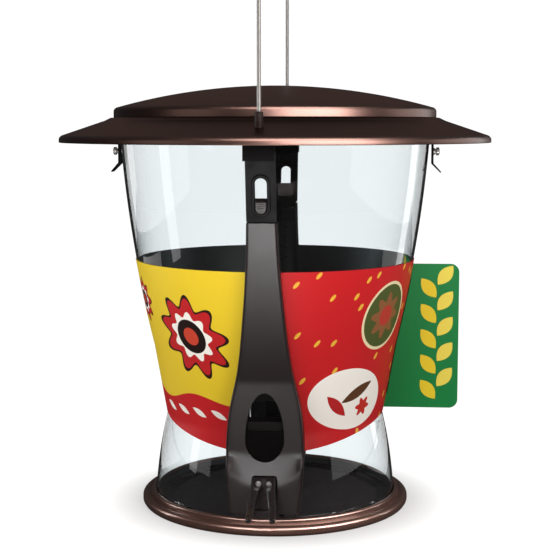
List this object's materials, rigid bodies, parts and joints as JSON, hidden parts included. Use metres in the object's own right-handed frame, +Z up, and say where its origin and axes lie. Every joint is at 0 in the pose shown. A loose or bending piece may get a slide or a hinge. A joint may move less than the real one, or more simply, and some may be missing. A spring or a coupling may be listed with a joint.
{
  "type": "squirrel-proof seed feeder",
  "caption": "Hanging seed feeder with a clear hourglass hopper, a bronze roof that slides up a wire bail, and sprung perch gates that shut the feeding ports under a heavy visitor.",
  "frame": {"origin": "centre of the tray's flat underside", "axes": "+Z up along the hopper's axis, front column at -Y, side card at +X"},
  "size_m": [0.3, 0.3, 0.4282],
  "materials": {
    "bronze_enamel": "satin dark bronze enamel on pressed steel",
    "bronze_resin": "moulded resin in dark bronze",
    "column_enamel": "satin grey-brown enamel on steel sheet",
    "clear_plastic": "clear polycarbonate, polished",
    "black_plastic": "moulded black",
    "bright_steel": "drawn and zinc plated",
    "dark_steel": "blackened",
    "label_card": "printed and varnished",
    "tag_card": "printed and varnished",
    "brown_rubber": "moulded"
  },
  "bodies": {
    "frame": {"base_tray": "bronze_resin", "hopper": "clear_plastic", "hopper_screws": "bright_steel", "column_screws": "dark_steel", "front_column": "column_enamel", "rear_column": "column_enamel", "front_strap": "column_enamel", "rear_strap": "column_enamel", "front_port_frame": "black_plastic", "rear_port_frame": "black_plastic", "front_gate_guides": "black_plastic", "rear_gate_guides": "black_plastic", "front_spring": "bright_steel", "rear_spring": "bright_steel", "bail": "bright_steel", "bail_nuts": "bright_steel", "left_label": "label_card", "right_label": "label_card", "side_tag": "tag_card"},
    "front_gate": {"front_gate": "dark_steel", "front_perch": "dark_steel", "front_perch_pins": "bright_steel"},
    "rear_gate": {"rear_gate": "dark_steel", "rear_perch": "dark_steel", "rear_perch_pins": "bright_steel"},
    "front_adjuster": {"front_tension_adjuster": "black_plastic"},
    "rear_adjuster": {"rear_tension_adjuster": "black_plastic"},
    "roof": {"roof_brim": "bronze_enamel", "roof_dome": "bronze_enamel", "roof_rivets": "bright_steel", "bail_grommets": "brown_rubber", "clip_brackets": "dark_steel", "clip_pins": "bright_steel"},
    "left_clip": {"left_clip": "dark_steel", "left_clip_knob": "dark_steel"},
    "right_clip": {"right_clip": "dark_steel", "right_clip_knob": "dark_steel"}
  },
  "joints": [
    {"name": "front_gate_slide", "type": "slide", "parent": "frame", "child": "front_gate", "axis": [0, 0, -1], "range_m": [0, 0.015], "stiffness_N_per_m": 180, "springref_m": -0.014, "deforming": ["front_spring"]},
    {"name": "rear_gate_slide", "type": "slide", "parent": "frame", "child": "rear_gate", "axis": [0, 0, -1], "range_m": [0, 0.015], "stiffness_N_per_m": 180, "springref_m": -0.014, "deforming": ["rear_spring"]},
    {"name": "front_adjuster_slide", "type": "slide", "parent": "frame", "child": "front_adjuster", "axis": [0, -0.2149, 0.9766], "range_m": [0, 0.011], "deforming": ["front_spring"]},
    {"name": "rear_adjuster_slide", "type": "slide", "parent": "frame", "child": "rear_adjuster", "axis": [0, 0.2149, 0.9766], "range_m": [0, 0.011], "deforming": ["rear_spring"]},
    {"name": "roof_lift", "type": "slide", "parent": "frame", "child": "roof", "axis": [0, 0, 1], "range_m": [0, 0.09]},
    {"name": "left_clip_hinge", "type": "hinge", "parent": "roof", "child": "left_clip", "pos_m": [-0.11, 0, 0.262], "axis": [0, 1, 0], "range_deg": [0, 30]},
    {"name": "right_clip_hinge", "type": "hinge", "parent": "roof", "child": "right_clip", "pos_m": [0.11, 0, 0.262], "axis": [0, -1, 0], "range_deg": [0, 30]}
  ]
}
